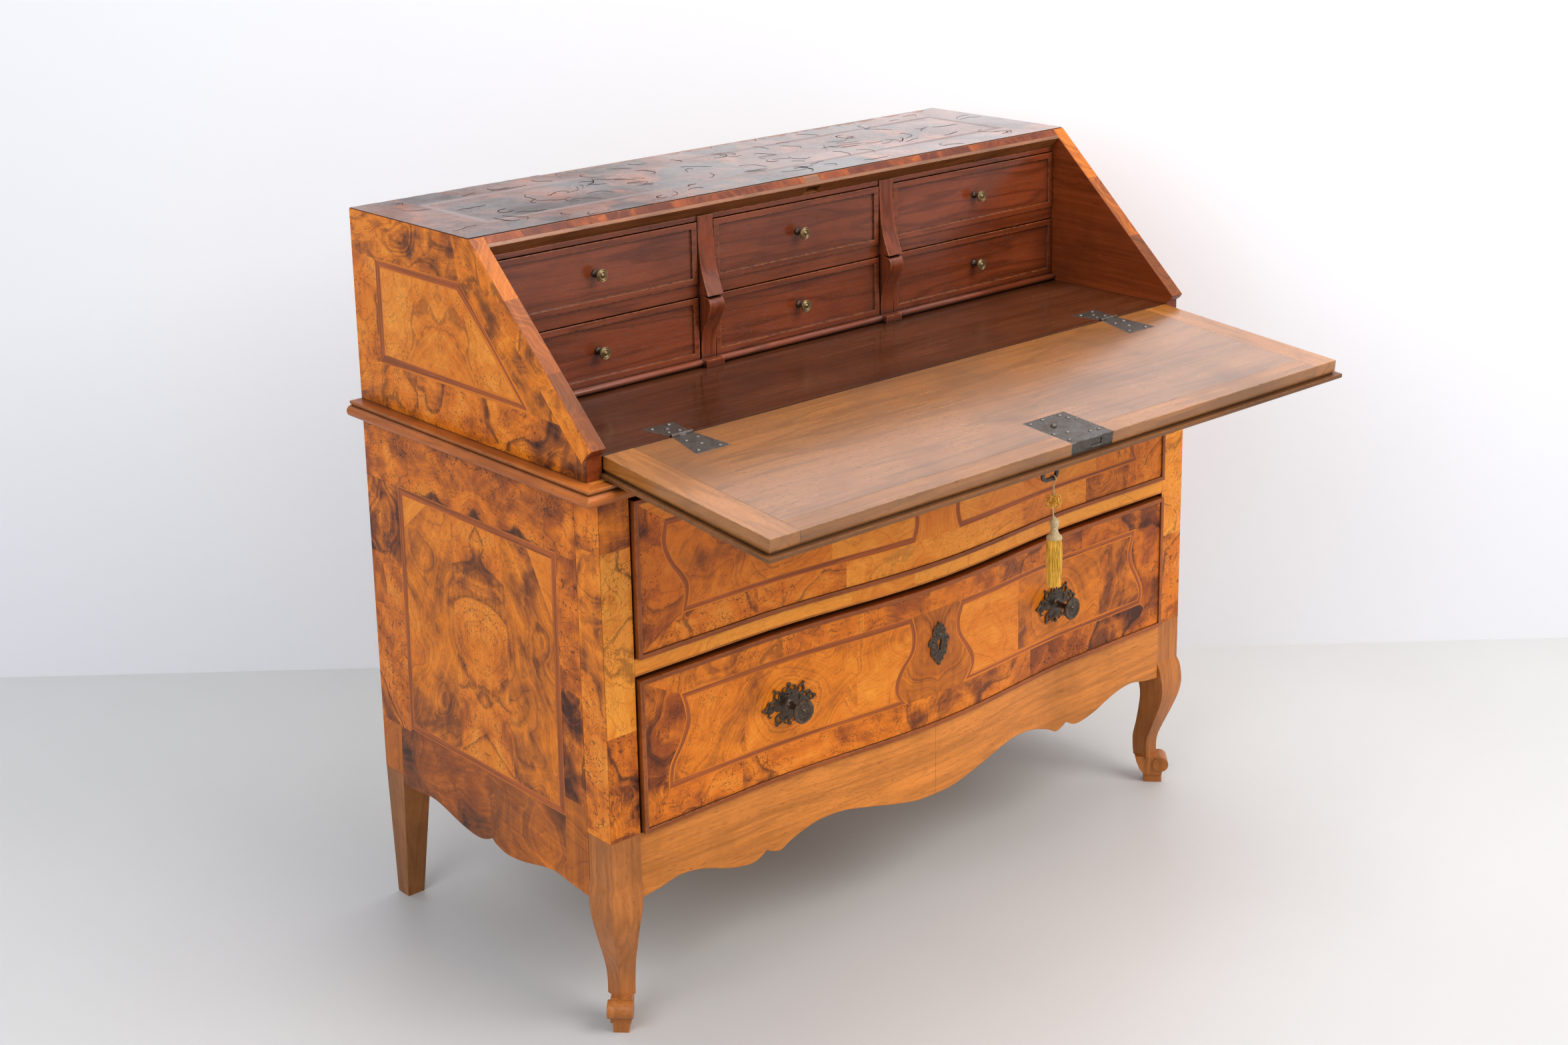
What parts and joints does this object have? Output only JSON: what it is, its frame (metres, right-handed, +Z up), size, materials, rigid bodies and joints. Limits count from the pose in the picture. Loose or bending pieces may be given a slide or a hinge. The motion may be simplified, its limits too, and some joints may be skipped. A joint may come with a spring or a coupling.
{
  "type": "slant-front desk",
  "caption": "Slant-front walnut desk: a fall opens to a writing board and a nest of small drawers, over two long serpentine drawers on cabriole legs",
  "frame": {"origin": "on the floor, under the middle of the whole desk's bounding box with the fall open", "axes": "+X to the right seen from the front, -Y out of the front, +Z up"},
  "size_m": [1.192, 0.85, 1.046],
  "materials": {
    "burl_veneer": "French polished",
    "walnut": "French polished",
    "dark_walnut": "waxed",
    "pine": "bare",
    "iron": "worn",
    "bronze": "dark patina",
    "brass": "aged",
    "silk_cord": "silk",
    "silk_gold": "silk"
  },
  "bodies": {
    "case": {"left_front_leg": "walnut", "right_front_leg": "walnut", "left_back_leg": "walnut", "right_back_leg": "walnut", "front_posts": "burl_veneer", "lower_sides": "burl_veneer", "front_apron": "walnut", "drawer_rails": "walnut", "drawer_runners": "pine", "dust_boards": "pine", "lower_back": "pine", "front_moulding": "walnut", "side_mouldings": "walnut", "writing_board": "dark_walnut", "upper_sides": "burl_veneer", "top_board": "walnut", "top_veneer": "burl_veneer", "upper_back": "pine", "nest_dividers": "dark_walnut", "nest_shelves": "dark_walnut", "nest_sill": "dark_walnut", "scroll_brackets": "dark_walnut", "desk_hinge_halves": "iron"},
    "fall": {"fall_panel": "walnut", "fall_edging": "walnut", "fall_face": "burl_veneer", "fall_lip": "walnut", "fall_hinge_halves": "iron", "fall_lock": "iron", "fall_escutcheon": "bronze"},
    "fall_bolt": {"fall_bolt": "iron"},
    "key": {"key": "iron"},
    "tassel": {"key_string": "silk_cord", "silk_rosette": "silk_gold", "tassel_head": "silk_cord", "tassel_skirt": "silk_gold"},
    "upper_drawer": {"upper_drawer_front": "burl_veneer", "upper_drawer_box": "pine", "upper_drawer_pulls": "bronze", "upper_drawer_escutcheon": "bronze", "upper_drawer_lock": "iron"},
    "upper_bolt": {"upper_drawer_bolt": "iron"},
    "lower_drawer": {"lower_drawer_front": "burl_veneer", "lower_drawer_box": "pine", "lower_drawer_pulls": "bronze", "lower_drawer_escutcheon": "bronze", "lower_drawer_lock": "iron"},
    "lower_bolt": {"lower_drawer_bolt": "iron"},
    "small_drawer_top_left": {"small_drawer_top_left": "dark_walnut", "knob_top_left": "brass"},
    "small_drawer_top_middle": {"small_drawer_top_middle": "dark_walnut", "knob_top_middle": "brass"},
    "small_drawer_top_right": {"small_drawer_top_right": "dark_walnut", "knob_top_right": "brass"},
    "small_drawer_low_left": {"small_drawer_low_left": "dark_walnut", "knob_low_left": "brass"},
    "small_drawer_low_middle": {"small_drawer_low_middle": "dark_walnut", "knob_low_middle": "brass"},
    "small_drawer_low_right": {"small_drawer_low_right": "dark_walnut", "knob_low_right": "brass"}
  },
  "joints": [
    {"name": "fall_hinge", "type": "hinge", "parent": "case", "child": "fall", "pos_m": [0, -0.102, 0.8], "axis": [-1, 0, 0], "range_deg": [0, 142]},
    {"name": "fall_bolt_slide", "type": "slide", "parent": "fall", "child": "fall_bolt", "axis": [0, 0.9959, 0.0904], "range_m": [-0.0105, 0]},
    {"name": "key_turn", "type": "hinge", "parent": "fall", "child": "key", "pos_m": [0.003, -0.36208, 0.7764], "axis": [0, -0.0904, 0.9959], "range_deg": [-90, 0]},
    {"name": "tassel_swing", "type": "hinge", "parent": "key", "child": "tassel", "pos_m": [0.003, -0.35527, 0.70136], "axis": [1, 0, 0], "range_deg": [0, 103]},
    {"name": "upper_drawer_slide", "type": "slide", "parent": "case", "child": "upper_drawer", "axis": [0, -1, 0], "range_m": [0, 0.18]},
    {"name": "upper_bolt_slide", "type": "slide", "parent": "upper_drawer", "child": "upper_bolt", "axis": [0, 0, -1], "range_m": [-0.01, 0]},
    {"name": "lower_drawer_slide", "type": "slide", "parent": "case", "child": "lower_drawer", "axis": [0, -1, 0], "range_m": [0, 0.35]},
    {"name": "lower_bolt_slide", "type": "slide", "parent": "lower_drawer", "child": "lower_bolt", "axis": [0, 0, -1], "range_m": [-0.01, 0]},
    {"name": "small_drawer_top_left_slide", "type": "slide", "parent": "case", "child": "small_drawer_top_left", "axis": [0, 1, 0], "range_m": [-0.23, 0]},
    {"name": "small_drawer_top_middle_slide", "type": "slide", "parent": "case", "child": "small_drawer_top_middle", "axis": [0, 1, 0], "range_m": [-0.23, 0]},
    {"name": "small_drawer_top_right_slide", "type": "slide", "parent": "case", "child": "small_drawer_top_right", "axis": [0, 1, 0], "range_m": [-0.23, 0]},
    {"name": "small_drawer_low_left_slide", "type": "slide", "parent": "case", "child": "small_drawer_low_left", "axis": [0, 1, 0], "range_m": [-0.23, 0]},
    {"name": "small_drawer_low_middle_slide", "type": "slide", "parent": "case", "child": "small_drawer_low_middle", "axis": [0, 1, 0], "range_m": [-0.23, 0]},
    {"name": "small_drawer_low_right_slide", "type": "slide", "parent": "case", "child": "small_drawer_low_right", "axis": [0, 1, 0], "range_m": [-0.23, 0]}
  ],
  "couplings": [
    {"joint": "fall_bolt_slide", "follows": "key_turn", "m_per_rad": 0.0065},
    {"joint": "tassel_swing", "follows": "fall_hinge", "ratio": 0.72}
  ]
}
